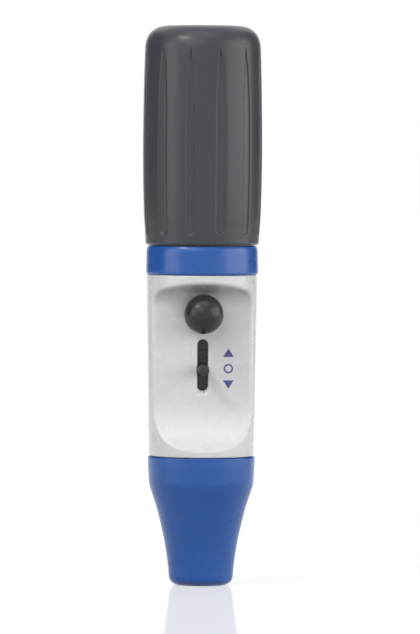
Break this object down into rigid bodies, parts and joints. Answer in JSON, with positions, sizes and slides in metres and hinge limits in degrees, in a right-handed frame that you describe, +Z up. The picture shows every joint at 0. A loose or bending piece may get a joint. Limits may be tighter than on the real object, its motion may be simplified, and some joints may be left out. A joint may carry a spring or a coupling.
{
  "type": "pipette controller",
  "caption": "Hand-held pipette controller: fluted silicone bellows, blue collar, white housing with scooped control panel, blow-out bulb and rocking lever, and a screwed blue nose cone.",
  "frame": {"origin": "centre of the nose cone's end face, on the surface that the controller stands on", "axes": "+Z up the controller's length towards the bellows, -Y out of the control panel"},
  "size_m": [0.0436, 0.0436, 0.205],
  "materials": {
    "grey_silicone": "matt grey silicone",
    "dark_silicone": "satin dark grey silicone",
    "blue_plastic": "semi-gloss blue polypropylene",
    "white_plastic": "semi-gloss white polypropylene",
    "dark_plastic": "satin black plastic",
    "valve_plastic": "natural polypropylene",
    "seal_rubber": "black seal rubber",
    "clear_silicone": "translucent silicone",
    "filter_plastic": "white polypropylene",
    "membrane": "white membrane",
    "steel": "bright stainless steel"
  },
  "bodies": {
    "housing": {"housing_shell": "white_plastic", "suction_bellows": "grey_silicone", "collar_ring": "blue_plastic", "bellows_carrier": "valve_plastic", "carrier_o_ring": "seal_rubber", "exhaust_valve": "clear_silicone", "bellows_hose": "dark_silicone", "slot_seal": "dark_silicone", "valve_frame": "valve_plastic", "aspirate_block": "valve_plastic", "frame_post_1": "steel", "frame_post_2": "steel", "tie_screw_1": "steel", "tie_screw_2": "steel", "floor_screw_1": "steel", "floor_screw_2": "steel", "floor_screw_3": "steel", "transfer_tube": "clear_silicone", "lever_pin": "steel", "aspirate_bush": "dark_plastic", "dispense_bush": "dark_plastic", "aspirate_spring": "steel", "dispense_spring": "steel", "port_seal": "seal_rubber", "nose_seal": "seal_rubber"},
    "lever": {"lever_arm": "dark_plastic", "lever_knob": "dark_plastic"},
    "aspirate_valve": {"aspirate_stem": "valve_plastic", "aspirate_seal_1": "seal_rubber", "aspirate_seal_2": "seal_rubber"},
    "dispense_valve": {"dispense_stem": "valve_plastic", "dispense_seal_1": "seal_rubber", "dispense_seal_2": "seal_rubber"},
    "bulb": {"blowout_bulb": "dark_silicone"},
    "adapter": {"pipette_adapter": "clear_silicone", "filter_lower_shell": "filter_plastic", "filter_membrane": "membrane", "filter_upper_shell": "filter_plastic"},
    "nose": {"nose_cone": "blue_plastic"}
  },
  "joints": [
    {"name": "lever_rock", "type": "hinge", "parent": "housing", "child": "lever", "pos_m": [0, 0.0135, 0.0793], "axis": [-1, 0, 0], "range_deg": [-15, 15], "stiffness_Nm_per_rad": 0.18},
    {"name": "aspirate_stem_slide", "type": "slide", "parent": "housing", "child": "aspirate_valve", "axis": [0, 0, 1], "range_m": [-0.003, 0.003], "deforming": ["aspirate_spring"]},
    {"name": "dispense_stem_slide", "type": "slide", "parent": "housing", "child": "dispense_valve", "axis": [0, 0, 1], "range_m": [-0.003, 0.003], "deforming": ["dispense_spring"]},
    {"name": "bulb_press", "type": "slide", "parent": "housing", "child": "bulb", "axis": [0, 1, 0], "range_m": [0, 0.0022], "stiffness_N_per_m": 900},
    {"name": "adapter_lower", "type": "slide", "parent": "housing", "child": "adapter", "axis": [0, 0, -1], "range_m": [0, 0.0061]},
    {"name": "nose_unscrew", "type": "hinge", "parent": "adapter", "child": "nose", "pos_m": [0, 0, 0], "axis": [0, 0, -1], "range_deg": [0, 720]}
  ],
  "couplings": [
    {"joint": "aspirate_stem_slide", "follows": "lever_rock", "m_per_rad": 0.01128},
    {"joint": "dispense_stem_slide", "follows": "lever_rock", "m_per_rad": 0.01128},
    {"joint": "adapter_lower", "follows": "nose_unscrew", "m_per_rad": 0.00047746}
  ]
}
